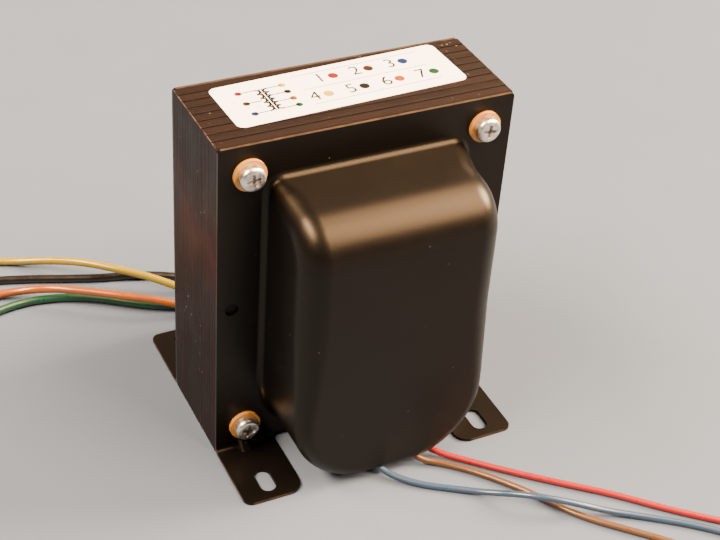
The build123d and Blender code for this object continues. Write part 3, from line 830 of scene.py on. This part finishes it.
# Name, diameter, length, colour and the points that the lead runs by, in millimetres.
leads = [
    ("red", front_lead, 208, (0.19, 0.003, 0.006), [
        (11.1, -35.9, 31.0), (11.1, -35.9, 24.5), (11.3, -36.5, 17.0), (11.8, -38.1, 9.8),
        (13.7, -41.5, 3.6), (18.2, -46.3, 1.6), (26.2, -53.2, 1.1), (35.4, -61.8, 1.1),
        (50.0, -74.3, 1.1), (61.4, -83.4, 1.1), (72.5, -94.3, 1.1), (83.4, -103.9, 1.1),
        (95.8, -113.6, 1.1), (105.6, -124.6, 1.1), (109.8, -138.2, 1.1), (107.0, -152.2, 1.1),
        (98.4, -163.2, 1.1), (86.2, -169.4, 1.1),
    ]),
    ("brown", front_lead, 204.4, (0.07, 0.031, 0.010), [
        (4.1, -35.9, 31.0), (4.1, -35.9, 24.5), (4.5, -36.8, 17.2), (5.6, -39.4, 10.6),
        (7.6, -43.0, 5.0), (11.4, -47.4, 1.9), (17.0, -50.4, 1.1), (24.0, -56.5, 1.1),
        (30.5, -63.9, 1.1), (36.1, -71.3, 1.1), (40.7, -78.4, 1.1), (45.1, -85.6, 1.1),
        (51.1, -92.5, 1.1), (58.4, -99.4, 1.1), (67.2, -108.0, 1.1), (75.4, -117.8, 1.1),
        (81.6, -129.0, 1.1), (81.4, -141.6, 1.1), (73.8, -151.2, 1.1), (61.8, -155.2, 1.1),
        (49.4, -152.6, 1.1), (38.8, -145.6, 1.1),
    ]),
    ("blue", front_lead, 209.8, (0.018, 0.042, 0.095), [
        (-6.1, -35.9, 31.0), (-6.1, -35.9, 24.5), (-6.3, -36.6, 17.2), (-5.8, -39.1, 10.4),
        (-4.7, -42.9, 4.8), (-1.8, -48.6, 1.9), (5.7, -56.1, 1.1), (15.1, -62.1, 1.1),
        (25.1, -68.7, 1.6), (32.4, -77.5, 6.2), (42.7, -84.7, 6.2), (55.1, -89.6, 1.7),
        (66.9, -96.9, 1.1), (78.0, -104.9, 1.1), (87.4, -113.4, 1.1), (93.6, -124.4, 1.1),
        (95.0, -137.0, 1.1), (90.4, -148.8, 1.1), (81.0, -157.4, 1.1), (69.0, -162.4, 1.1),
    ]),
    ("yellow", rear_lead, 207.6, (0.19, 0.145, 0.0004), [
        (1.5, 36.5, 31.0), (1.5, 36.5, 24.0), (1.3, 37.3, 16.2), (0.4, 39.5, 9.0),
        (-2.2, 43.2, 3.8), (-7.4, 49.0, 1.9), (-18.4, 57.4, 1.7), (-28.0, 63.6, 2.4),
        (-39.0, 71.2, 5.8), (-48.9, 77.6, 7.4), (-59.0, 85.8, 7.4), (-69.1, 95.5, 4.0),
        (-79.3, 102.3, 1.5), (-95.5, 108.8, 1.5), (-111.0, 110.6, 1.5), (-126.4, 106.2, 1.5),
        (-138.6, 95.8, 1.5), (-145.0, 81.6, 1.5),
    ]),
    ("black", rear_lead, 213.9, (0.003, 0.0025, 0.0025), [
        (8.0, 36.5, 31.0), (8.0, 36.5, 24.0), (7.8, 37.3, 16.2), (6.9, 39.5, 9.0), (4.6, 43.2, 3.8),
        (-0.2, 49.4, 1.8), (-9.6, 59.2, 1.5), (-19.2, 67.4, 1.5), (-30.4, 74.4, 1.5),
        (-41.7, 79.0, 1.5), (-54.5, 82.0, 1.5), (-66.7, 86.3, 1.5), (-78.8, 90.8, 1.5),
        (-92.0, 94.6, 1.5), (-106.5, 96.0, 1.5), (-120.6, 91.4, 1.5), (-131.4, 81.2, 1.5),
        (-136.6, 67.4, 1.5), (-137.4, 53.0, 1.5),
    ]),
    ("orange", rear_lead, 208, (0.20, 0.050, 0.001), [
        (-11.5, 36.5, 31.0), (-11.5, 36.5, 24.0), (-11.4, 36.9, 16.2), (-11.4, 37.9, 9.2),
        (-12.0, 39.2, 5.4), (-14.0, 41.4, 2.9), (-18.6, 44.8, 1.7), (-27.0, 49.6, 2.5),
        (-38.7, 54.8, 6.2), (-49.5, 60.1, 7.4), (-61.1, 67.6, 7.4), (-72.2, 74.3, 7.2),
        (-81.0, 82.5, 3.0), (-94.8, 85.8, 1.5), (-108.6, 83.4, 1.5), (-119.8, 75.0, 1.5),
        (-126.4, 62.6, 1.5), (-129.0, 48.6, 1.5), (-130.2, 34.4, 1.5), (-133.4, 20.4, 1.5),
    ]),
    ("green", rear_lead, 204.5, (0.005, 0.045, 0.022), [
        (-5.0, 36.5, 31.0), (-5.0, 36.5, 24.0), (-5.1, 37.3, 16.2), (-5.8, 39.6, 9.2),
        (-8.6, 43.0, 3.8), (-14.6, 47.9, 1.7), (-27.8, 54.2, 1.5), (-38.6, 58.0, 1.5),
        (-47.2, 62.9, 1.5), (-56.3, 69.4, 1.5), (-65.2, 74.0, 1.5), (-74.7, 76.8, 1.5),
        (-84.6, 77.8, 1.5), (-96.8, 75.2, 1.5), (-108.2, 69.4, 1.5), (-115.8, 59.0, 1.5),
        (-118.8, 46.2, 1.5), (-119.8, 32.8, 1.5), (-122.6, 19.8, 1.5), (-128.0, 7.6, 1.5),
    ]),
]
for name, diameter, length, colour, points in leads:
    curve = bpy.data.curves.new(name + "_line", "CURVE")
    curve.dimensions = "3D"
    route = curve.splines.new("NURBS")
    route.points.add(len(points) - 1)
    for point, place in zip(route.points, points):
        point.co = (*(Vector(place) * mm), 1)
    route.order_u = 3
    route.use_endpoint_u = True
    route.resolution_u = 8
    curve.bevel_depth = diameter / 2 * mm
    curve.bevel_resolution = 5
    curve.use_fill_caps = True
    vinyl = Finish(name + "_vinyl", coat_weight=0.2, coat_roughness=0.14)
    scuff = vinyl.noise(5 * mm, detail=4.0)
    chalked = [fading * channel + chalk for channel in colour]
    vinyl.set(
        base_color=vinyl.blend(scuff.between(0.45, 0.75), colour, chalked),
        roughness=scuff.between(0.3, 0.7, 0.24, 0.38),
    )
    vinyl.relief(vinyl.noise(1.8 * mm, detail=2.0), depth=0.03 * mm)
    curve.materials.append(vinyl.material)
    lead = put(name + "_insulated_lead", curve)
    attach(lead, "root")
    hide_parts(name + "_lead")

    end = Vector(points[-1]) * mm
    heading = (Vector(points[-1]) - Vector(points[-2])).normalized()
    tip_mesh = strands[diameter].copy()
    tip_mesh.transform(Matrix.Translation(end) @ heading.to_track_quat("Z", "Y").to_matrix().to_4x4())
    tip = add_piece(name + "_strands", tip_mesh, "tinned_wire", name + "_lead_tip")
